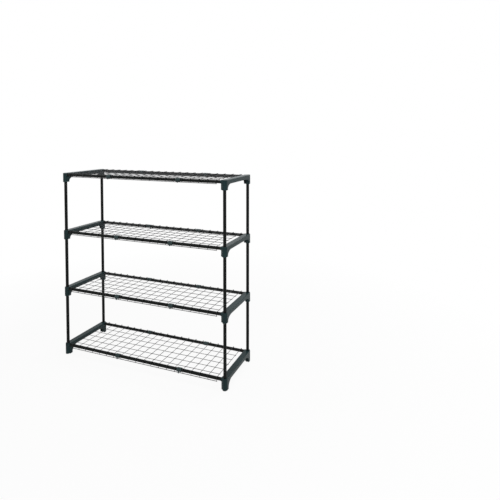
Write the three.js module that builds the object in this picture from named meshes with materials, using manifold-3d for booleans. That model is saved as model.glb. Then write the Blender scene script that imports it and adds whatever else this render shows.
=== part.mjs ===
// Greenhouse shelving unit: four wire shelves on a push-fit frame of steel tubes and moulded connectors.
// Millimetres, +Z up, +X along the shelves, the long front side faces -Y.
// The origin is on the floor, under the middle of the unit.
import * as THREE from 'three';
import { mergeVertices } from 'three/addons/utils/BufferGeometryUtils.js';
import Module from 'manifold-3d';

const wasm = await Module();
wasm.setup();

// Driving dimensions of the whole unit
const tierCount = 4;
const tierPitch = 320; // from one shelf's rails to the next
const footDrop = 50; // from the lowest rails down to the floor
const postSpacingX = 980; // between the leg axes along the shelves
const postSpacingY = 280; // between the front and back leg axes
const clearance = 0.3; // between pieces that touch
const overrun = 1; // how far a cut runs past the face it opens

// Steel tube of the legs and rails
const tubeRadius = 8;
const tubeWall = 1;
const roundSides = 12;

// Moulded end connector: one crossbar with a leg socket at each end
const socketWall = 4.7; // round the leg
const boreRoof = 1.7; // over the rail
const boreFloor = 4.1; // under the rail
const stopWeb = 3.7; // between the rail and the roof of the leg socket below it
const edgeBevel = 2; // along the moulding's edges
const outerStep = 0.8; // the crossbar and its wings reach this far past the sockets, away from the shelf
const shelfStep = 5.2; // and this far on the shelf's side
const wingFront = 4; // a wing starts this far in front of the leg axis
const wingBack = 9.5; // and ends this far behind it
const wingDrop = 39; // lowest point of a wing below the rail axis
const socketLip = 1; // a socket's mouth is this far below its wings
const footWingBack = 15;
const footBevel = 3; // round the bottom edge of a foot
const archReach = 50; // from the leg axis to where the arch meets the straight underside
const archSteps = 7;
const railReach = 8; // a rail bore runs this far past the leg axis
const pegRise = 25; // peg that enters the tube above
const pegBevel = 2;
const channelWall = 3;
const channelRoof = 4;
const channelRib = 2.4;
const channelRibCount = 3;
const channelEnd = 30; // from the end of the ribbed channel to the leg axis

// Welded wire shelf
const wire = 2.4;
const edgeWire = 3;
const crossWireCount = 20;
const crossWireEndGap = 21.8; // from the axis of the last cross wire to the crossbar
const longWireCount = 6;
const longWireInset = 23.5; // from a rail's axis to the nearest long wire's
const wireEnd = 2; // a long wire runs this far past the last cross wire
const weldBite = 0.3; // how far two welded wires sink into each other
const lipGap = 0.8; // between a rail and the turned-down lip outside it

// Snap clip: a jaw round a rail, with a narrow tongue that hooks under the lip's edge wire
const clipWall = 2.4;
const clipLength = 26;
const tongueWidth = 5;
const tongueWall = 1.6;
const clipStartSide = 7; // the jaw runs from this side of the round to the next, in steps of one side
const clipEndSide = -2;

// Which gap between cross wires, counted from the middle, holds each clip, from the lowest tier up
const clipGaps = [[-3, 5], [-3, 4], [-3, 4], [-4, 5]];

const legX = postSpacingX / 2;
const legY = postSpacingY / 2;
const tierZ = (tier) => footDrop + tier * tierPitch;
const boreRadius = tubeRadius + clearance;
const pegRadius = tubeRadius - tubeWall - clearance;
const socketRadius = boreRadius + socketWall;
const barOuter = socketRadius + outerStep; // from the leg axis to the crossbar's side away from the shelf
const barInner = socketRadius + shelfStep; // and to its side at the shelf
const barRise = boreRadius + boreRoof; // top face above the rail axis
const barDrop = boreRadius + boreFloor; // underside below the rail axis
const legStop = boreRadius + stopWeb; // roof of the leg socket below the rail axis
const socketDrop = wingDrop + socketLip;

const finish = (color, roughness, metalness) =>
  new THREE.MeshStandardMaterial({ color, roughness, metalness });
const mouldedPlastic = finish('#2f3f42', 0.5, 0);
const clipPlastic = finish('#2a3d3c', 0.45, 0);
const coatedTube = finish('#141615', 0.35, 0.3);
const coatedWire = finish('#1b1f1e', 0.4, 0.3);

// Joining and cutting

function solid(geometry) {
  const bare = geometry.clone();
  bare.deleteAttribute('normal');
  bare.deleteAttribute('uv');
  const merged = mergeVertices(bare);
  return new wasm.Manifold(new wasm.Mesh({
    numProp: 3,
    vertProperties: Float32Array.from(merged.attributes.position.array),
    triVerts: Uint32Array.from(merged.index.array),
  }));
}

function geometryOf(body) {
  const mesh = body.getMesh();
  const geometry = new THREE.BufferGeometry();
  geometry.setAttribute('position', new THREE.BufferAttribute(Float32Array.from(mesh.vertProperties), 3));
  geometry.setIndex(new THREE.BufferAttribute(Uint32Array.from(mesh.triVerts), 1));
  return geometry;
}

const joined = (bodies) => bodies.reduce((whole, body) => whole.add(body));

// Basic shapes, each placed where it is needed

// A box between two corners.
function block(from, to) {
  const size = to.map((value, i) => value - from[i]);
  const middle = to.map((value, i) => (value + from[i]) / 2);
  return new THREE.BoxGeometry(...size).translate(...middle);
}

// A turned shape on the Z axis, from [radius, height] points.
function turned(points) {
  const profile = points.map(([radius, height]) => new THREE.Vector2(radius, height));
  return new THREE.LatheGeometry(profile, roundSides).rotateX(Math.PI / 2);
}

// A round bar on the Z axis between two heights.
const bar = (radius, bottom, top) => turned([[0, bottom], [radius, bottom], [radius, top], [0, top]]);

// A flat outline of [across, up] points in the YZ plane, drawn out along X from one place to another.
// The two end faces can have bevelled edges.
function sideProfile(points, fromX, toX, bevel = 0) {
  const shape = new THREE.Shape(points.map(([across, up]) => new THREE.Vector2(across, up)));
  return new THREE.ExtrudeGeometry(shape, {
    depth: toX - fromX - 2 * bevel,
    bevelEnabled: bevel > 0,
    bevelThickness: bevel,
    bevelSize: bevel,
    bevelOffset: -bevel,
    bevelSegments: 1,
  })
    .rotateX(Math.PI / 2)
    .rotateZ(Math.PI / 2)
    .translate(fromX + bevel, 0, 0);
}

// A straight tube of the frame, on the Z axis, closed on itself round its wall.
function tube(bottom, top) {
  const inside = tubeRadius - tubeWall;
  return turned([[inside, bottom], [tubeRadius, bottom], [tubeRadius, top], [inside, top], [inside, bottom]]);
}

const alongX = (geometry) => geometry.rotateY(Math.PI / 2);

// End connector, with its middle at the origin, its rail axes at z = 0 and the shelf on its +X side

// Half of the side outline, from the middle of the underside to the middle of the top.
function connectorHalf(isFoot) {
  const back = legY - (isFoot ? footWingBack : wingBack);
  const front = legY + wingFront;
  const archEnd = isFoot ? footBevel - footDrop : -wingDrop;
  const archRise = -barDrop - archEnd;
  const archStart = legY - archReach;
  const points = [];
  for (let step = 0; step <= archSteps; step += 1) {
    const angle = (step / archSteps) * (Math.PI / 2);
    points.push([archStart + (back - archStart) * Math.sin(angle), archEnd + archRise * Math.cos(angle)]);
  }
  if (isFoot) {
    points.push([back + footBevel, -footDrop], [front - footBevel, -footDrop], [front, archEnd]);
  } else {
    points.push([front, archEnd]);
  }
  points.push([front, barRise]);
  return points;
}

function connector(tier) {
  const isFoot = tier === 0;
  const isTop = tier === tierCount - 1;
  const half = connectorHalf(isFoot);
  const mirrored = half.map(([across, up]) => [-across, up]).reverse();
  let body = solid(sideProfile([...half, ...mirrored], -barOuter, barInner, edgeBevel));

  // The crossbar is open underneath, with ribs across the channel, and so are the arches beside the legs.
  const channelHalf = legY - channelEnd;
  const bay = (2 * channelHalf - channelRibCount * channelRib) / (channelRibCount + 1);
  const hollow = (start, end) => solid(block(
    [channelWall - barOuter, start, -Math.max(footDrop, socketDrop) - overrun],
    [barInner - channelWall, end, barRise - channelRoof],
  ));
  for (let i = 0; i <= channelRibCount; i += 1) {
    const start = -channelHalf + i * (bay + channelRib);
    body = body.subtract(hollow(start, start + bay));
  }
  body = body.subtract(hollow(-legY, -channelHalf - channelRib));
  body = body.subtract(hollow(channelHalf + channelRib, legY));

  // Leg socket, rail collar and peg at each end
  for (const side of [-1, 1]) {
    const leg = side * legY;
    const foot = [[0, -footDrop], [socketRadius - footBevel, -footDrop], [socketRadius, -footDrop + footBevel]];
    const mouth = [[0, -socketDrop], [socketRadius, -socketDrop]];
    const top = [[socketRadius, barRise - edgeBevel], [socketRadius - edgeBevel, barRise], [0, barRise]];
    const socket = turned([...(isFoot ? foot : mouth), ...top]);
    body = body.add(solid(socket.translate(0, leg, 0)));
    body = body.add(solid(alongX(bar(barRise, 0, barInner)).translate(0, leg, 0)));
    if (!isTop) {
      const root = barRise - pegBevel;
      const tip = barRise + pegRise;
      const peg = turned([[0, root], [pegRadius, root], [pegRadius, tip - pegBevel],
        [pegRadius - pegBevel, tip], [0, tip]]);
      body = body.add(solid(peg.translate(0, leg, 0)));
    }
    if (!isFoot) {
      body = body.subtract(solid(bar(boreRadius, -socketDrop - overrun, -legStop).translate(0, leg, 0)));
    }
    const railBore = alongX(bar(boreRadius, -railReach, barInner + overrun));
    body = body.subtract(solid(railBore.translate(0, leg, 0)));
  }
  return body;
}

// Wire shelf, with the rail axes at z = 0

const wireTop = tubeRadius + clearance + wire;
const edgeWireTop = -tubeRadius;
const edgeWireUnder = edgeWireTop - edgeWire;
const lipOffset = tubeRadius + lipGap + wire / 2; // from a rail's axis out to the lip's
const crossWireSpan = 2 * (legX - barInner - crossWireEndGap);
const longWireSpan = 2 * (legY - longWireInset);
const crossWirePitch = crossWireSpan / (crossWireCount - 1);
const longWirePitch = longWireSpan / (longWireCount - 1);
const places = (count, pitch) => Array.from({ length: count }, (_, i) => (i - (count - 1) / 2) * pitch);

function wireShelf() {
  const wires = [];

  // The cross wires lie on the rails and turn down outside them, into the edge wires.
  const underside = wireTop - wire;
  const lipOuter = legY + lipOffset + wire / 2;
  const lipInner = lipOuter - wire;
  const lipEnd = edgeWireTop - weldBite;
  for (const x of places(crossWireCount, crossWirePitch)) {
    wires.push(sideProfile([
      [-lipOuter, lipEnd], [-lipInner, lipEnd], [-lipInner, underside],
      [lipInner, underside], [lipInner, lipEnd], [lipOuter, lipEnd],
      [lipOuter, wireTop], [-lipOuter, wireTop],
    ], x - wire / 2, x + wire / 2));
  }

  // The long wires hang under the cross wires, set on edge so that each weld is short.
  const end = (crossWireSpan + wire) / 2 + wireEnd;
  const ridge = underside + weldBite;
  for (const y of places(longWireCount, longWirePitch)) {
    wires.push(sideProfile([
      [y, ridge], [y - wire / 2, ridge - wire / 2], [y, ridge - wire], [y + wire / 2, ridge - wire / 2],
    ], -end, end));
  }
  for (const y of [-legY - lipOffset, legY + lipOffset]) {
    wires.push(block([-end, y - edgeWire / 2, edgeWireUnder], [end, y + edgeWire / 2, edgeWireTop]));
  }
  return joined(wires.map(solid));
}

// Snap clip for a front rail, with the rail axis along X through the origin and outwards towards -Y
// The jaw leaves the rail's lower inside open.
function clip() {
  const outer = boreRadius + clipWall;
  const middle = boreRadius + clipWall / 2;
  const round = (radius, side) => {
    const angle = (side / roundSides) * 2 * Math.PI;
    return [-radius * Math.cos(angle), radius * Math.sin(angle)];
  };
  const jaw = [];
  for (let side = clipStartSide; side >= clipEndSide; side -= 1) {
    jaw.push(round(boreRadius, side));
  }
  for (let side = clipEndSide; side <= clipStartSide; side += 1) {
    jaw.push(round(outer, side));
  }

  // The tongue runs from the jaw's wall down past the edge wire, and its hook goes under the wire.
  const inside = -lipOffset - edgeWire / 2 - clearance;
  const outside = inside - tongueWall;
  const hookTop = edgeWireUnder - clearance;
  const hookTip = edgeWire / 2 + clearance - lipOffset;
  const tongue = [
    round(middle, 0), round(middle, -1), [inside, edgeWireTop + clearance], [inside, hookTop], [hookTip, hookTop],
    [hookTip, hookTop - tongueWall], [outside, hookTop - tongueWall], [outside, edgeWireTop + clearance],
  ];
  const body = solid(sideProfile(jaw, -clipLength / 2, clipLength / 2));
  return geometryOf(body.add(solid(sideProfile(tongue, -tongueWidth / 2, tongueWidth / 2))));
}

// Assembly

const unit = new THREE.Group();

function place(name, geometry, material, x, y, z) {
  const mesh = new THREE.Mesh(geometry, material.clone());
  mesh.name = name;
  mesh.position.set(x, y, z);
  unit.add(mesh);
  return mesh;
}

const sidesX = { left: -1, right: 1 };
const sidesY = { front: -1, back: 1 };
const railEnd = legX + railReach - clearance;
const shelfGeometry = geometryOf(wireShelf());
const clipGeometry = clip();
const railGeometry = alongX(tube(-railEnd, railEnd));
const legGeometry = tube(barRise + clearance, tierPitch - legStop - clearance);

for (let tier = 0; tier < tierCount; tier += 1) {
  const label = `t${tier + 1}`;
  const z = tierZ(tier);
  const connectorGeometry = geometryOf(connector(tier));
  for (const [sideX, signX] of Object.entries(sidesX)) {
    const piece = place(`connector_${label}_${sideX}`, connectorGeometry, mouldedPlastic, signX * legX, 0, z);
    piece.rotation.z = signX > 0 ? Math.PI : 0;
  }
  place(`shelf_grid_${label}`, shelfGeometry, coatedWire, 0, 0, z);
  for (const [sideY, signY] of Object.entries(sidesY)) {
    place(`rail_${label}_${sideY}`, railGeometry, coatedTube, 0, signY * legY, z);
    for (const [i, sideX] of Object.keys(sidesX).entries()) {
      const x = clipGaps[tier][i] * crossWirePitch;
      const piece = place(`clip_${label}_${sideY}_${sideX}`, clipGeometry, clipPlastic, x, signY * legY, z);
      piece.rotation.z = signY > 0 ? Math.PI : 0;
    }
    for (const [sideX, signX] of Object.entries(sidesX)) {
      if (tier === tierCount - 1) continue;
      place(`leg_${label}_${sideY}_${sideX}`, legGeometry, coatedTube, signX * legX, signY * legY, z);
    }
  }
}

export default unit;
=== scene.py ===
"""Greenhouse shelving unit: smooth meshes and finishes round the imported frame, a studio and the camera."""
import math

import bmesh
import bpy
from mathutils import Matrix, Vector
from mathutils.geometry import tessellate_polygon


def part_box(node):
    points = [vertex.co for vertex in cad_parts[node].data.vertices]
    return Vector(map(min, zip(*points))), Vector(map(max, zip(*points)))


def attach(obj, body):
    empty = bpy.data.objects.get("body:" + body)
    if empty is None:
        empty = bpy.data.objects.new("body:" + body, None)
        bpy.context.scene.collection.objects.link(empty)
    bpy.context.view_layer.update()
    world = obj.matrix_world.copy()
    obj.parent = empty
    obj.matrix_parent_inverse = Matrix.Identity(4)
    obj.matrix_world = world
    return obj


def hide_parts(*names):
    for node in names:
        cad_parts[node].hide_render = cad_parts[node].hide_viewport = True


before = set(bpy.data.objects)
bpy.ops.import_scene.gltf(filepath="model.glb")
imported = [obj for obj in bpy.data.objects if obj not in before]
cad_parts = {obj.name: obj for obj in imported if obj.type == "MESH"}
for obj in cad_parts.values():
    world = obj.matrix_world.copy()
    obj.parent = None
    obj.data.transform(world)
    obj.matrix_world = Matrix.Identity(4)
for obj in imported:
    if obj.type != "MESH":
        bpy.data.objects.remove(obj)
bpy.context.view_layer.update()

# The pieces' sizes are in millimetres, and z is zero at a shelf's rail axis.
MM = 0.001
SIDES_X = {"left": -1, "right": 1}
SIDES_Y = {"front": -1, "back": 1}
TIERS = range(1, 5)

# Steps of round shapes, and limits for booleans and smoothing
ROUND_SIDES = 48
ROUND_STEPS = 5
CORNER_STEPS = 4
LEAST_MITRE_SHARE = 0.5  # holds back the inset at sharp corners
OVERRUN = 1
SEAM = 0.05  # keeps two joined solids' flat faces out of one plane
MERGE_DISTANCE = 0.01
MOST_FACE_CORNERS = 4
TUBE_SHARP_DEGREES = 40
CONNECTOR_SHARP_DEGREES = 32
SHELF_SHARP_DEGREES = 50
CLIP_SHARP_DEGREES = 40
FLAT_FACE_WEIGHT = 100

# Tubes, and the clearance of what fits them
TUBE_RADIUS = 8
TUBE_WALL = 1
TUBE_EDGE = 0.25
CLEARANCE = 0.3
BORE_RADIUS = TUBE_RADIUS + CLEARANCE

# Moulded end connector, with places measured from where the leg's and the rail's axes cross
SOCKET_RADIUS = BORE_RADIUS + 4.7
SOCKET_LIP = 1
SOCKET_EDGE = 1.4
SOCKET_TOP_EDGE = 1.8
BAR_OUTER = SOCKET_RADIUS + 0.8
BAR_INNER = SOCKET_RADIUS + 5.2
BAR_RISE = BORE_RADIUS + 1.7
BAR_DROP = BORE_RADIUS + 4.1
LEG_STOP = BORE_RADIUS + 3.7
TOP_EDGE = 2.2
TOP_CORNER = 2.8
UNDER_EDGE = 5
UNDER_EDGE_POWER = 4  # keeps the underside's wide edge until near the arch's end
WING_FRONT = 4
WING_BACK = 9.5
WING_DROP = 39
WING_EDGE = 1.2
WING_CORNER = 1.4
FOOT_WING_BACK = 15
FOOT_EDGE = 2.8
FOOT_CORNER = 3.2
RAIL_REACH = 8
MOUTH_CHAMFER = 0.8
PEG_RADIUS = TUBE_RADIUS - TUBE_WALL - CLEARANCE
PEG_RISE = 25  # above the crossbar's top
PEG_TIP = 2
CHANNEL_WALL = 3
CHANNEL_ROOF = 4
CHANNEL_RIB = 2.4
CHANNEL_BAYS = 4
CHANNEL_END = 30
ARCH_REACH = 50
ARCH_STEPS = 20

# Welded wire shelf
WIRE_RADIUS = 1.2
EDGE_WIRE_RADIUS = 1.5
WIRE_SIDES = 12
WIRE_DOME_SHARE = 0.35
WIRE_TIP_SHARE = 0.72
WELD_SIDES = 8
WELD_STEPS = 5
CROSS_WIRES = 20
LONG_WIRES = 6
LONG_WIRE_INSET = 23.5
WIRE_END = 2
WELD_BITE = 0.3
WELD_SPREAD = 1.75
WELD_RISE = 0.9
LIP_GAP = 0.8
LIP_REACH = TUBE_RADIUS + LIP_GAP + WIRE_RADIUS  # from the rail's axis to the turned-down wires' middle
BEND_RADIUS = 3.8
BEND_STEPS = 7

# Snap clip, with angles in degrees from the front of the rail, upwards
CLIP_WALL = 2.4
CLIP_EDGE = 0.5
CLIP_EDGE_STEPS = 3
CLIP_JAW_START = -60
CLIP_JAW_END = 210
CLIP_JAW_STEPS = 28
TONGUE_WIDTH = 5
TONGUE_WALL = 1.6
TONGUE_OUTER_SHARE = 0.85  # of the jaw's wall, at the tongue's root
TONGUE_INNER_SHARE = 0.25
TONGUE_ROOT_END = -30
TONGUE_ROOT_STEPS = 4
TONGUE_CORNER_SHARE = 0.8  # of the tongue's own wall


def box_mm(node):
    """A node's lowest and highest corners in millimetres."""
    low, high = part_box(node)
    return Vector(low) / MM, Vector(high) / MM


def middle_mm(node):
    low, high = box_mm(node)
    return (low + high) / 2


rail_axis = {t: middle_mm(f"rail_t{t}_front").z for t in TIERS}
leg_x = middle_mm("leg_t1_front_right").x
leg_y = middle_mm("leg_t1_back_right").y
floor_height = box_mm("connector_t1_left")[0].z
foot_drop = rail_axis[1] - floor_height
shelf_end = box_mm("shelf_grid_t1")[1].x
lip_y = leg_y + LIP_REACH


# Mesh helpers

def new_object(name, data):
    """An object in the scene."""
    made = bpy.data.objects.new(name, data)
    bpy.context.scene.collection.objects.link(made)
    return made


def mesh_from(name, verts, faces):
    """A mesh in millimetres, to be scaled once it is whole."""
    mesh = bpy.data.meshes.new(name)
    mesh.from_pydata(verts, [], faces)
    mesh.validate()
    return mesh


def finished(mesh, material, sharp_degrees):
    """Brings a mesh to metres, gives it its finish, and smooths it apart from edges over the angle."""
    mesh.transform(Matrix.Scale(MM, 4))
    mesh.materials.clear()
    mesh.materials.append(material)
    mesh.polygons.foreach_set("use_smooth", [True] * len(mesh.polygons))
    mesh.set_sharp_from_angle(angle=math.radians(sharp_degrees))
    mesh.update()
    return mesh


def quarter_turn(steps):
    """The angles of a quarter turn in even steps."""
    return [math.pi / 2 * k / steps for k in range(steps + 1)]


def circle(radius, height, sides):
    """Points of a level circle round Z."""
    points = []
    for i in range(sides):
        angle = 2 * math.pi * i / sides
        points.append((radius * math.cos(angle), radius * math.sin(angle), height))
    return points


def side_faces(ring_count, sides):
    """Faces between neighbouring rings, where the points of the rings follow one another."""
    faces = []
    for k in range(ring_count - 1):
        for i in range(sides):
            j = (i + 1) % sides
            faces.append([k * sides + i, k * sides + j, (k + 1) * sides + j, (k + 1) * sides + i])
    return faces


def lathe(profile, sides=ROUND_SIDES):
    """Turns a closed list of (radius, height) points round Z. Points on the axis become poles."""
    verts = []
    rings = []
    for radius, height in profile:
        start = len(verts)
        if radius == 0:
            verts.append((0, 0, height))
            rings.append([start] * sides)
        else:
            verts += circle(radius, height, sides)
            rings.append(list(range(start, start + sides)))
    faces = []
    for k, ring in enumerate(rings):
        following = rings[(k + 1) % len(rings)]
        if ring[0] == ring[1] and following[0] == following[1]:
            continue
        for i in range(sides):
            j = (i + 1) % sides
            corners = [ring[i], ring[j], following[j], following[i]]
            faces.append(list(dict.fromkeys(corners)))
    return verts, faces


def rounded_corner(corner, before, after, radius):
    """Points of an arc that rounds an outline's corner between two neighbours."""
    corner, before, after = Vector(corner), Vector(before), Vector(after)
    back = (before - corner).normalized()
    ahead = (after - corner).normalized()
    half_angle = back.angle(ahead) / 2
    reach = radius / math.tan(half_angle)
    centre = corner + (back + ahead).normalized() * radius / math.sin(half_angle)
    start = corner + back * reach - centre
    end = corner + ahead * reach - centre
    points = []
    for i in range(CORNER_STEPS + 1):
        share = i / CORNER_STEPS
        points.append(tuple(centre + start.slerp(end, share).normalized() * radius))
    return points


def inward_offsets(points):
    """For each point of an outline, the offset that moves both of its lines inwards by one."""
    offsets = []
    for i, point in enumerate(points):
        along_in = (point - points[i - 1]).normalized()
        along_out = (points[(i + 1) % len(points)] - point).normalized()
        inward = Vector((-along_in.y - along_out.y, along_in.x + along_out.x)).normalized()
        share = inward.dot(Vector((-along_in.y, along_in.x)))
        offsets.append(inward / max(share, LEAST_MITRE_SHARE))
    return offsets


def rounded_prism(outline, edges, from_x, to_x, steps=ROUND_STEPS):
    """Draws a flat (y, z) outline out along X, with its end edges rounded by each point's own radius."""
    points = [Vector(p) for p in outline]
    offsets = inward_offsets(points)
    angles = quarter_turn(steps)
    rings = []
    for end, step, end_angles in ((from_x, 1, angles), (to_x, -1, angles[::-1])):
        for angle in end_angles:
            ring = []
            for point, offset, radius in zip(points, offsets, edges):
                inset = point + offset * radius * (1 - math.sin(angle))
                ring.append((end + step * radius * (1 - math.cos(angle)), inset.x, inset.y))
            rings.append(ring)
    verts = [v for ring in rings for v in ring]
    last = (len(rings) - 1) * len(points)
    cap = [Vector((0, y, z)) for x, y, z in rings[0]]
    faces = []
    for a, b, c in tessellate_polygon([cap]):
        if (cap[b] - cap[a]).cross(cap[c] - cap[a]).x > 0:
            b, c = c, b
        faces.append([a, b, c])
        faces.append([last + a, last + c, last + b])
    return verts, faces + side_faces(len(rings), len(points))


def block(low, high):
    """A plain cutter between two corners."""
    xs, ys, zs = zip(low, high)
    verts = [(x, y, z) for x in xs for y in ys for z in zs]
    faces = [(0, 1, 3, 2), (4, 6, 7, 5), (0, 4, 5, 1), (2, 3, 7, 6), (0, 2, 6, 4), (1, 5, 7, 3)]
    return verts, faces


def moved(shape, matrix):
    verts, faces = shape
    return [tuple(matrix @ Vector(v)) for v in verts], faces


def turned_to_x(shape):
    return moved(shape, Matrix.Rotation(math.pi / 2, 4, "Y"))


def at(shape, x, y, z):
    return moved(shape, Matrix.Translation((x, y, z)))


def joined(shapes):
    """Several shapes as one list of points and faces."""
    verts = []
    faces = []
    for shape_verts, shape_faces in shapes:
        start = len(verts)
        verts += shape_verts
        faces += [[start + i for i in face] for face in shape_faces]
    return verts, faces


def combine(body, shape, operation):
    """Joins a solid to an object's mesh, or cuts it away."""
    tool = new_object("tool", mesh_from("tool", *shape))
    modifier = body.modifiers.new("step", "BOOLEAN")
    modifier.operation = operation
    modifier.solver = "MANIFOLD"
    modifier.object = tool
    bpy.context.view_layer.update()
    result = bpy.data.meshes.new_from_object(body.evaluated_get(bpy.context.evaluated_depsgraph_get()))
    body.modifiers.clear()
    used = body.data
    body.data = result
    bpy.data.meshes.remove(used)
    bpy.data.objects.remove(tool)


def cleaned(body):
    """Takes the mesh from a working object, merges the booleans' slivers and splits many-sided faces."""
    mesh = body.data
    bpy.data.objects.remove(body)
    work = bmesh.new()
    work.from_mesh(mesh)
    bmesh.ops.remove_doubles(work, verts=work.verts, dist=MERGE_DISTANCE)
    bmesh.ops.dissolve_degenerate(work, edges=work.edges, dist=MERGE_DISTANCE)
    bmesh.ops.triangulate(work, faces=[f for f in work.faces if len(f.verts) > MOST_FACE_CORNERS])
    work.to_mesh(mesh)
    work.free()
    return mesh


def add_piece(name, mesh, matrix, node):
    """Puts a shared mesh where its CAD node is, and lets it stand for that node."""
    piece = new_object(name, mesh)
    piece.matrix_world = matrix
    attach(piece, "root")
    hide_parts(node)
    return piece


def placed(x, y, z, turned=False):
    """A place in millimetres as a matrix, turned half round Z if asked."""
    matrix = Matrix.Translation(Vector((x, y, z)) * MM)
    return matrix @ Matrix.Rotation(math.pi, 4, "Z") if turned else matrix


# Finishes, with noise scales in features per metre and bump distances in metres

NOISE_LOW = 0.3
NOISE_HIGH = 0.7

PLASTIC_FLOW = {"scale": 9, "detail": 3, "stretch": (1, 0.35, 1)}
PLASTIC_GRAIN = {"scale": 2600, "detail": 2}
PLASTIC_GRAIN_BUMP = {"distance": 0.00003, "strength": 0.5}
PLASTIC_WAVES = {"scale": 45, "detail": 1}
PLASTIC_WAVES_BUMP = {"distance": 0.0003, "strength": 0.2}
PLASTIC_GLOSS = {"scale": 120, "detail": 3}
PLASTIC_ROUGHNESS = (0.24, 0.34)

COAT_TINT = {"scale": 30, "detail": 4}
COAT_PEEL_DETAIL = 2
COAT_PEEL_BUMP = {"distance": 0.00002, "strength": 0.25}
COAT_FINE_TIMES = 4
COAT_FINE_DETAIL = 1
COAT_FINE_BUMP = {"distance": 0.000003, "strength": 0.25}
COAT_GLOSS = {"scale": 90, "detail": 3}
COAT_ROUGHNESS = (0.32, 0.45)


class Nodes:
    """A small builder for one material's node tree."""

    def __init__(self, name):
        self.material = bpy.data.materials.new(name)
        self.material.use_nodes = True
        self.tree = self.material.node_tree
        self.tree.nodes.clear()
        self.output = self.add("ShaderNodeOutputMaterial")
        self.position = self.add("ShaderNodeNewGeometry").outputs["Position"]

    def add(self, kind, **settings):
        node = self.tree.nodes.new(kind)
        for key, value in settings.items():
            setattr(node, key, value)
        return node

    def link(self, source, target):
        self.tree.links.new(source, target)

    def noise(self, scale, detail, stretch=None):
        """Noise at the point's place in the world."""
        node = self.add("ShaderNodeTexNoise")
        node.inputs["Scale"].default_value = scale
        node.inputs["Detail"].default_value = detail
        place = self.position
        if stretch:
            mapping = self.add("ShaderNodeMapping")
            mapping.inputs["Scale"].default_value = stretch
            self.link(place, mapping.inputs["Vector"])
            place = mapping.outputs["Vector"]
        self.link(place, node.inputs["Vector"])
        return node.outputs["Fac"]

    def span(self, value, low, high, from_low=NOISE_LOW, from_high=NOISE_HIGH):
        """Maps a value to a range, from the usual spread of noise unless another is given."""
        node = self.add("ShaderNodeMapRange")
        node.inputs["From Min"].default_value = from_low
        node.inputs["From Max"].default_value = from_high
        node.inputs["To Min"].default_value = low
        node.inputs["To Max"].default_value = high
        self.link(value, node.inputs["Value"])
        return node.outputs["Result"]

    def mix(self, factor, first, second):
        node = self.add("ShaderNodeMix", data_type="RGBA")
        node.inputs["A"].default_value = (*first, 1)
        node.inputs["B"].default_value = (*second, 1)
        self.link(factor, node.inputs["Factor"])
        return node.outputs["Result"]

    def bump(self, height, distance, strength, normal=None):
        node = self.add("ShaderNodeBump")
        node.inputs["Distance"].default_value = distance
        node.inputs["Strength"].default_value = strength
        self.link(height, node.inputs["Height"])
        if normal:
            self.link(normal, node.inputs["Normal"])
        return node.outputs["Normal"]

    def principled(self, color, roughness, normal, specular):
        shader = self.add("ShaderNodeBsdfPrincipled")
        self.link(color, shader.inputs["Base Color"])
        self.link(roughness, shader.inputs["Roughness"])
        self.link(normal, shader.inputs["Normal"])
        shader.inputs["Specular IOR Level"].default_value = specular
        self.link(shader.outputs["BSDF"], self.output.inputs["Surface"])
        return self.material


def srgb(text):
    """A hex colour as linear red, green and blue, by the sRGB formula."""
    values = [int(text[i:i + 2], 16) / 255 for i in (0, 2, 4)]
    return tuple(v / 12.92 if v <= 0.04045 else ((v + 0.055) / 1.055) ** 2.4 for v in values)


def moulded_plastic(name, dark, light, specular):
    """Injection-moulded plastic: a fine spark-eroded grain, faint flow marks and uneven gloss."""
    n = Nodes(name)
    color = n.mix(n.span(n.noise(**PLASTIC_FLOW), 0, 1), dark, light)
    grain = n.bump(n.noise(**PLASTIC_GRAIN), **PLASTIC_GRAIN_BUMP)
    waves = n.bump(n.noise(**PLASTIC_WAVES), **PLASTIC_WAVES_BUMP, normal=grain)
    roughness = n.span(n.noise(**PLASTIC_GLOSS), *PLASTIC_ROUGHNESS)
    return n.principled(color, roughness, waves, specular)


def coated_steel(name, dark, light, specular, peel_scale):
    """Black coating on steel: a soft orange peel with slightly uneven gloss."""
    n = Nodes(name)
    color = n.mix(n.span(n.noise(**COAT_TINT), 0, 1), dark, light)
    peel = n.bump(n.noise(peel_scale, COAT_PEEL_DETAIL), **COAT_PEEL_BUMP)
    fine = n.bump(n.noise(peel_scale * COAT_FINE_TIMES, COAT_FINE_DETAIL), **COAT_FINE_BUMP, normal=peel)
    roughness = n.span(n.noise(**COAT_GLOSS), *COAT_ROUGHNESS)
    return n.principled(color, roughness, fine, specular)


connector_finish = moulded_plastic(
    "moulded_slate_green", dark=srgb("1a2b2d"), light=srgb("253a3c"), specular=0.1)
clip_finish = moulded_plastic(
    "moulded_dark_green", dark=srgb("2a3738"), light=srgb("384748"), specular=0.15)
tube_finish = coated_steel(
    "coated_black_tube", dark=srgb("0a0c0b"), light=srgb("101312"), specular=0.1, peel_scale=700)
wire_finish = coated_steel(
    "coated_black_wire", dark=srgb("131517"), light=srgb("1c1f21"), specular=0.2, peel_scale=1500)


# Tubes of the legs and rails

def tube_shape(bottom, top):
    inner = TUBE_RADIUS - TUBE_WALL
    outer = TUBE_RADIUS
    edge = TUBE_EDGE
    profile = [
        (inner, bottom + edge), (inner + edge, bottom), (outer - edge, bottom), (outer, bottom + edge),
        (outer, top - edge), (outer - edge, top), (inner + edge, top), (inner, top - edge),
    ]
    return lathe(profile)


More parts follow.
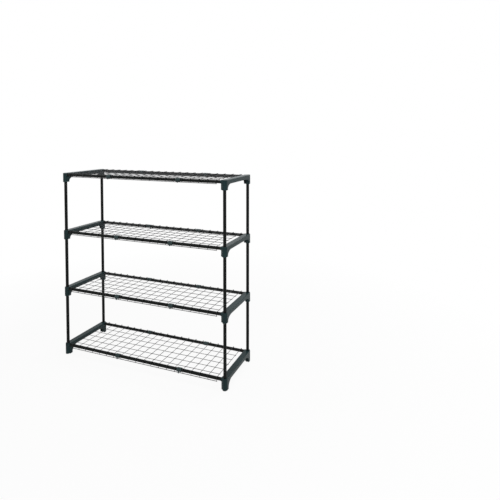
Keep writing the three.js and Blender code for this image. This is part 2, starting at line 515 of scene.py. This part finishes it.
def add_tubes():
    low, high = box_mm("leg_t1_front_left")
    leg = mesh_from("leg_tube", *tube_shape(low.z - rail_axis[1], high.z - rail_axis[1]))
    finished(leg, tube_finish, TUBE_SHARP_DEGREES)
    low, high = box_mm("rail_t1_front")
    rail = mesh_from("rail_tube", *turned_to_x(tube_shape(low.x, high.x)))
    finished(rail, tube_finish, TUBE_SHARP_DEGREES)
    for t in TIERS:
        for y, sign_y in SIDES_Y.items():
            place = placed(0, sign_y * leg_y, rail_axis[t])
            add_piece(f"rail_tube_t{t}_{y}", rail, place, f"rail_t{t}_{y}")
            if t == TIERS[-1]:
                continue
            for x, sign_x in SIDES_X.items():
                place = placed(sign_x * leg_x, sign_y * leg_y, rail_axis[t])
                add_piece(f"leg_tube_t{t}_{y}_{x}", leg, place, f"leg_t{t}_{y}_{x}")


# End connectors, built with the shelf on their +X side

def connector_outline(is_foot):
    """The side outline from the underside's middle round both legs, and each point's edge radius."""
    back = leg_y - (FOOT_WING_BACK if is_foot else WING_BACK)
    front = leg_y + WING_FRONT
    mouth = -foot_drop if is_foot else -WING_DROP
    corner = FOOT_CORNER if is_foot else WING_CORNER
    last_edge = FOOT_EDGE if is_foot else WING_EDGE
    arch_start = leg_y - ARCH_REACH
    arch_end = mouth + corner
    points = []
    edges = []
    for k in range(ARCH_STEPS):
        angle = math.pi / 2 * k / ARCH_STEPS
        y = arch_start + (back - arch_start) * math.sin(angle)
        points.append((y, arch_end - (BAR_DROP + arch_end) * math.cos(angle)))
        edges.append(UNDER_EDGE + (last_edge - UNDER_EDGE) * (k / ARCH_STEPS) ** UNDER_EDGE_POWER)
    rounds = (
        ((back, mouth), (back, 0), (front, mouth), corner, last_edge),
        ((front, mouth), (back, mouth), (front, BAR_RISE), corner, last_edge),
        ((front, BAR_RISE), (front, 0), (0, BAR_RISE), TOP_CORNER, TOP_EDGE),
    )
    for at_corner, before, after, size, edge in rounds:
        arc = rounded_corner(at_corner, before, after, size)
        points += arc
        edges += [edge] * len(arc)
    mirrored = [(-y, z) for y, z in reversed(points)]
    return points + mirrored, edges + edges[::-1]


def underside_pocket(from_y, to_y):
    """A cutter that hollows the crossbar from below, between two ribs."""
    low = (CHANNEL_WALL - BAR_OUTER, from_y, -foot_drop - OVERRUN)
    high = (BAR_INNER - CHANNEL_WALL, to_y, BAR_RISE - CHANNEL_ROOF)
    return block(low, high)


def socket_shape(mouth, edge):
    """The round wall of a leg's socket, with both of its ends rounded."""
    top = BAR_RISE - SEAM
    profile = [(0, mouth)]
    for angle in quarter_turn(ROUND_STEPS):
        inset = edge * (1 - math.sin(angle))
        profile.append((SOCKET_RADIUS - inset, mouth + edge * (1 - math.cos(angle))))
    for angle in quarter_turn(ROUND_STEPS):
        inset = SOCKET_TOP_EDGE * (1 - math.cos(angle))
        profile.append((SOCKET_RADIUS - inset, top - SOCKET_TOP_EDGE * (1 - math.sin(angle))))
    profile.append((0, top))
    return lathe(profile)


def leg_bore_shape(mouth):
    """The hole for the upper end of a leg tube, wider at its mouth."""
    profile = [
        (0, mouth - OVERRUN), (BORE_RADIUS + MOUTH_CHAMFER + OVERRUN, mouth - OVERRUN),
        (BORE_RADIUS, mouth + MOUTH_CHAMFER), (BORE_RADIUS, -LEG_STOP), (0, -LEG_STOP),
    ]
    return lathe(profile)


def rail_sleeve_shape():
    """The round wall about a rail's end. Its inner end lies inside the leg's socket."""
    end = BAR_INNER - SEAM
    profile = [(0, SOCKET_RADIUS - BORE_RADIUS), (BAR_RISE, 0), (BAR_RISE, end), (0, end)]
    return turned_to_x(lathe(profile))


def rail_bore_shape():
    """The blind hole for a rail's end, wider at its mouth."""
    profile = [
        (0, -RAIL_REACH), (BORE_RADIUS, -RAIL_REACH), (BORE_RADIUS, BAR_INNER - MOUTH_CHAMFER),
        (BORE_RADIUS + MOUTH_CHAMFER + OVERRUN, BAR_INNER + OVERRUN), (0, BAR_INNER + OVERRUN),
    ]
    return turned_to_x(lathe(profile))


def peg_shape():
    """The peg that enters the lower end of the leg tube above."""
    root = BAR_RISE - PEG_TIP
    shoulder = BAR_RISE + PEG_RISE - PEG_TIP
    tip = BAR_RISE + PEG_RISE
    profile = [
        (0, root), (PEG_RADIUS, root), (PEG_RADIUS, shoulder), (PEG_RADIUS - PEG_TIP, tip), (0, tip),
    ]
    return lathe(profile)


def connector_mesh(name, is_foot, is_top):
    outline, edges = connector_outline(is_foot)
    prism = rounded_prism(outline, edges, -BAR_OUTER, BAR_INNER)
    body = new_object(name, mesh_from(name, *prism))
    mouth = -foot_drop if is_foot else -WING_DROP - SOCKET_LIP
    half = leg_y - CHANNEL_END
    bay = (2 * half - (CHANNEL_BAYS - 1) * CHANNEL_RIB) / CHANNEL_BAYS
    for i in range(CHANNEL_BAYS):
        start = -half + i * (bay + CHANNEL_RIB)
        combine(body, underside_pocket(start, start + bay), "DIFFERENCE")
    for sign in SIDES_Y.values():
        y = sign * leg_y
        from_y, to_y = sorted((sign * (half + CHANNEL_RIB), y))
        combine(body, underside_pocket(from_y, to_y), "DIFFERENCE")
        socket = socket_shape(mouth, FOOT_EDGE if is_foot else SOCKET_EDGE)
        combine(body, at(socket, 0, y, 0), "UNION")
        combine(body, at(rail_sleeve_shape(), 0, y, 0), "UNION")
        if not is_top:
            combine(body, at(peg_shape(), 0, y, 0), "UNION")
        if not is_foot:
            combine(body, at(leg_bore_shape(mouth), 0, y, 0), "DIFFERENCE")
        combine(body, at(rail_bore_shape(), 0, y, 0), "DIFFERENCE")
    return finished(cleaned(body), connector_finish, CONNECTOR_SHARP_DEGREES)


def add_connectors():
    foot = connector_mesh("foot_connector", is_foot=True, is_top=False)
    middle = connector_mesh("middle_connector", is_foot=False, is_top=False)
    top = connector_mesh("top_connector", is_foot=False, is_top=True)
    for t in TIERS:
        mesh = {TIERS[0]: foot, TIERS[-1]: top}.get(t, middle)
        for x, sign in SIDES_X.items():
            place = placed(sign * leg_x, 0, rail_axis[t], turned=sign > 0)
            node = f"connector_t{t}_{x}"
            piece = add_piece(f"moulding_t{t}_{x}", mesh, place, node)
            weighted = piece.modifiers.new("flat_faces", "WEIGHTED_NORMAL")
            weighted.keep_sharp = True
            weighted.weight = FLAT_FACE_WEIGHT


# Wire shelves

def sweep(path, radius):
    """A round wire along a path, with slightly domed ends."""
    path = [Vector(p) for p in path]
    first = (path[1] - path[0]).normalized()
    last = (path[-1] - path[-2]).normalized()
    dome = radius * WIRE_DOME_SHARE
    stations = [(path[0], WIRE_TIP_SHARE), (path[0] + first * dome, 1)]
    stations += [(p, 1) for p in path[1:-1]]
    stations += [(path[-1] - last * dome, 1), (path[-1], WIRE_TIP_SHARE)]
    verts = []
    side = first.orthogonal().normalized()
    previous = first
    for k, (point, share) in enumerate(stations):
        if k in (0, 1):
            tangent = first
        elif k >= len(stations) - 2:
            tangent = last
        else:
            tangent = (stations[k + 1][0] - stations[k - 1][0]).normalized()
        side = previous.rotation_difference(tangent) @ side
        side = (side - tangent * side.dot(tangent)).normalized()
        other = tangent.cross(side)
        previous = tangent
        for side_part, other_part, _ in circle(1, 0, WIRE_SIDES):
            offset = (side * side_part + other * other_part) * radius * share
            verts.append(tuple(point + offset))
    start_cap = list(range(WIRE_SIDES))[::-1]
    end_cap = list(range(len(verts) - WIRE_SIDES, len(verts)))
    return verts, [start_cap, end_cap] + side_faces(len(stations), WIRE_SIDES)


def weld(x, y, z):
    """The squeezed metal where two wires are welded."""
    profile = []
    for k in range(WELD_STEPS + 1):
        angle = math.pi * k / WELD_STEPS - math.pi / 2
        reach = 0 if k in (0, WELD_STEPS) else WELD_SPREAD * math.cos(angle)
        profile.append((reach, WELD_RISE * math.sin(angle)))
    return at(lathe(profile, WELD_SIDES), x, y, z)


def spread(count, span):
    """Even places over a span about zero."""
    return [span * (i / (count - 1) - 0.5) for i in range(count)]


def straight_wire(y, z, radius):
    """A wire along the whole shelf."""
    return sweep([(x, y, z) for x in (-shelf_end, 0, shelf_end)], radius)


def cross_wire_path(wire_z, edge_z):
    """The (y, z) path of a cross wire, turned down at the front and the back."""
    half = [(lip_y, edge_z)]
    for angle in quarter_turn(BEND_STEPS):
        inset = BEND_RADIUS * (1 - math.cos(angle))
        half.append((lip_y - inset, wire_z - BEND_RADIUS * (1 - math.sin(angle))))
    return half + [(-y, z) for y, z in reversed(half)]


def shelf_mesh():
    wire_z = BORE_RADIUS + WIRE_RADIUS
    edge_z = -TUBE_RADIUS - EDGE_WIRE_RADIUS
    long_z = BORE_RADIUS + WELD_BITE - WIRE_RADIUS
    cross_x = spread(CROSS_WIRES, 2 * (shelf_end - WIRE_END - WIRE_RADIUS))
    long_y = spread(LONG_WIRES, 2 * (leg_y - LONG_WIRE_INSET))
    across = cross_wire_path(wire_z, edge_z)
    shapes = []
    for x in cross_x:
        shapes.append(sweep([(x, y, z) for y, z in across], WIRE_RADIUS))
        shapes += [weld(x, y, (wire_z + long_z) / 2) for y in long_y]
        shapes += [weld(x, sign * lip_y, edge_z + EDGE_WIRE_RADIUS) for sign in SIDES_Y.values()]
    shapes += [straight_wire(y, long_z, WIRE_RADIUS) for y in long_y]
    shapes += [straight_wire(sign * lip_y, edge_z, EDGE_WIRE_RADIUS) for sign in SIDES_Y.values()]
    return finished(mesh_from("wire_shelf", *joined(shapes)), wire_finish, SHELF_SHARP_DEGREES)


def add_shelves():
    mesh = shelf_mesh()
    for t in TIERS:
        place = placed(0, 0, rail_axis[t])
        add_piece(f"wire_shelf_t{t}", mesh, place, f"shelf_grid_t{t}")


# Snap clips, built for a front rail

def clip_arc(radius, start, end, steps):
    """Points of an arc about the rail."""
    angles = [math.radians(start + (end - start) * i / steps) for i in range(steps + 1)]
    return [(-radius * math.cos(a), radius * math.sin(a)) for a in angles]


def clip_slice(outline, width):
    """A part of the clip with rounded edges, about the clip's middle."""
    edges = [CLIP_EDGE] * len(outline)
    return rounded_prism(outline[::-1], edges, -width / 2, width / 2, CLIP_EDGE_STEPS)


def jaw_outline():
    """The jaw round the rail: its inner arc, then its outer arc back."""
    inner = clip_arc(BORE_RADIUS, CLIP_JAW_END, CLIP_JAW_START, CLIP_JAW_STEPS)
    outer = clip_arc(BORE_RADIUS + CLIP_WALL, CLIP_JAW_START, CLIP_JAW_END, CLIP_JAW_STEPS)
    return inner + outer


def tongue_outline():
    """The narrow tongue: from its root in the jaw, down outside the lip, and back under the edge wire."""
    inside = -LIP_REACH - EDGE_WIRE_RADIUS - CLEARANCE
    outside = inside - TONGUE_WALL
    wire_top = -TUBE_RADIUS
    shoulder_z = wire_top + CLEARANCE
    hook_top = wire_top - 2 * EDGE_WIRE_RADIUS - CLEARANCE
    hook_under = hook_top - TONGUE_WALL
    hook_tip = EDGE_WIRE_RADIUS + CLEARANCE - LIP_REACH
    root = [(-BORE_RADIUS - CLIP_WALL * TONGUE_OUTER_SHARE, 0)]
    root += clip_arc(BORE_RADIUS + CLIP_WALL * TONGUE_INNER_SHARE, 0, TONGUE_ROOT_END, TONGUE_ROOT_STEPS)
    hook = [(inside, shoulder_z), (inside, hook_top), (hook_tip, hook_top), (hook_tip, hook_under)]
    corner = (outside, hook_under)
    shoulder = (outside, shoulder_z)
    bend = rounded_corner(corner, (hook_tip, hook_under), shoulder, TONGUE_WALL * TONGUE_CORNER_SHARE)
    return root + hook + bend + [shoulder]


def clip_mesh():
    """A jaw round the rail, with a narrow tongue that hooks under the edge wire."""
    low, high = box_mm("clip_t1_front_left")
    body = new_object("clip", mesh_from("snap_clip", *clip_slice(jaw_outline(), high.x - low.x)))
    combine(body, clip_slice(tongue_outline(), TONGUE_WIDTH), "UNION")
    return finished(cleaned(body), clip_finish, CLIP_SHARP_DEGREES)


def add_clips():
    mesh = clip_mesh()
    for t in TIERS:
        for y, sign_y in SIDES_Y.items():
            for x in SIDES_X:
                node = f"clip_t{t}_{y}_{x}"
                place = placed(middle_mm(node).x, sign_y * leg_y, rail_axis[t], turned=sign_y > 0)
                add_piece(f"snap_clip_t{t}_{y}_{x}", mesh, place, node)


add_tubes()
add_connectors()
add_shelves()
add_clips()


# Studio in metres: a white floor that fades into a white surround, and soft lights

WHITE = (1, 1, 1, 1)
FLOOR_RADIUS = 6
FLOOR_SIDES = 64
FLOOR_FADE_START = 0.9
FLOOR_FADE_END = 2.2
FLOOR_COLOR = (0.8, 0.8, 0.8, 1)
FLOOR_GLOW_SHARE = 0.93
WORLD_LIGHT = 0.15
LIGHT_AIM = (0, 0, 0.5)
SOFTBOXES = {
    "key_softbox": {"place": (1.2, -3.2, 2.6), "size": (1.6, 1.6), "power": 54},
    "right_softbox": {"place": (3.2, -0.6, 2.4), "size": (1.4, 1.4), "power": 22},
    "top_softbox": {"place": (0, 0.2, 3.2), "size": (2.4, 1.6), "power": 40},
    "rim_softbox": {"place": (2.2, 3.0, 1.9), "size": (1.2, 1.2), "power": 26},
}


def background_share(tree):
    """One for rays that show the background, straight, mirrored or through glass, and otherwise zero."""
    rays = tree.nodes.new("ShaderNodeLightPath")
    share = rays.outputs["Is Camera Ray"]
    for name in ("Is Glossy Ray", "Is Transmission Ray"):
        either = tree.nodes.new("ShaderNodeMath")
        either.operation = "MAXIMUM"
        tree.links.new(share, either.inputs[0])
        tree.links.new(rays.outputs[name], either.inputs[1])
        share = either.outputs["Value"]
    return share


def floor_material():
    """White that glows for rays that show the background: nearly wholly by the object, wholly far off."""
    n = Nodes("studio_floor")
    plain = n.add("ShaderNodeBsdfDiffuse")
    plain.inputs["Color"].default_value = FLOOR_COLOR
    glow = n.add("ShaderNodeEmission")
    glow.inputs["Strength"].default_value = 1
    length = n.add("ShaderNodeVectorMath", operation="LENGTH")
    n.link(n.position, length.inputs[0])
    fade = n.span(length.outputs["Value"], FLOOR_GLOW_SHARE, 1, FLOOR_FADE_START, FLOOR_FADE_END)
    share = n.add("ShaderNodeMath", operation="MULTIPLY")
    n.link(background_share(n.tree), share.inputs[0])
    n.link(fade, share.inputs[1])
    mixed = n.add("ShaderNodeMixShader")
    n.link(share.outputs["Value"], mixed.inputs["Fac"])
    n.link(plain.outputs["BSDF"], mixed.inputs[1])
    n.link(glow.outputs["Emission"], mixed.inputs[2])
    n.link(mixed.outputs["Shader"], n.output.inputs["Surface"])
    return n.material


def add_floor():
    mesh = bpy.data.meshes.new("floor")
    mesh.from_pydata(circle(FLOOR_RADIUS, floor_height * MM, FLOOR_SIDES), [], [list(range(FLOOR_SIDES))])
    mesh.materials.append(floor_material())
    floor = new_object("floor", mesh)


def add_world():
    """White for rays that show the background, and a softer fill for the others."""
    world = bpy.data.worlds.new("studio")
    bpy.context.scene.world = world
    world.use_nodes = True
    tree = world.node_tree
    background = tree.nodes["Background"]
    strength = tree.nodes.new("ShaderNodeMapRange")
    strength.inputs["To Min"].default_value = WORLD_LIGHT
    strength.inputs["To Max"].default_value = 1
    tree.links.new(background_share(tree), strength.inputs["Value"])
    tree.links.new(strength.outputs["Result"], background.inputs["Strength"])
    background.inputs["Color"].default_value = WHITE


def add_light(name, place, size, power):
    light = bpy.data.lights.new(name, "AREA")
    light.shape = "RECTANGLE"
    light.size, light.size_y = size
    light.energy = power
    lamp = new_object(name, light)
    lamp.location = place
    lamp.rotation_euler = (Vector(LIGHT_AIM) - Vector(place)).to_track_quat("-Z", "Y").to_euler()


add_floor()
add_world()
for softbox, settings in SOFTBOXES.items():
    add_light(softbox, **settings)


# Camera, matched to the photograph's left-hand unit: a nearly level view with the lens shifted down

CAMERA_PLACE = (1.3651, -1.9282, 1.2350)
CAMERA_AZIMUTH = 20.34
CAMERA_PITCH = 2.10
CAMERA_ROLL = 0.11
IMAGE_SIZE = 500
FOCAL_PIXELS = 418.56
CENTRE_PIXEL = (266.60, 149.95)
SENSOR_WIDTH = 36


def add_camera():
    data = bpy.data.cameras.new("camera")
    data.sensor_width = SENSOR_WIDTH
    data.lens = FOCAL_PIXELS / IMAGE_SIZE * SENSOR_WIDTH
    data.shift_x = 0.5 - CENTRE_PIXEL[0] / IMAGE_SIZE
    data.shift_y = CENTRE_PIXEL[1] / IMAGE_SIZE - 0.5
    camera = new_object("camera", data)
    turn = Matrix.Rotation(math.radians(CAMERA_AZIMUTH), 4, "Z")
    tilt = Matrix.Rotation(math.radians(90 - CAMERA_PITCH), 4, "X")
    roll = Matrix.Rotation(math.radians(CAMERA_ROLL), 4, "Z")
    camera.matrix_world = Matrix.Translation(CAMERA_PLACE) @ turn @ tilt @ roll
    bpy.context.scene.camera = camera


add_camera()
bpy.context.scene.view_settings.view_transform = "Standard"
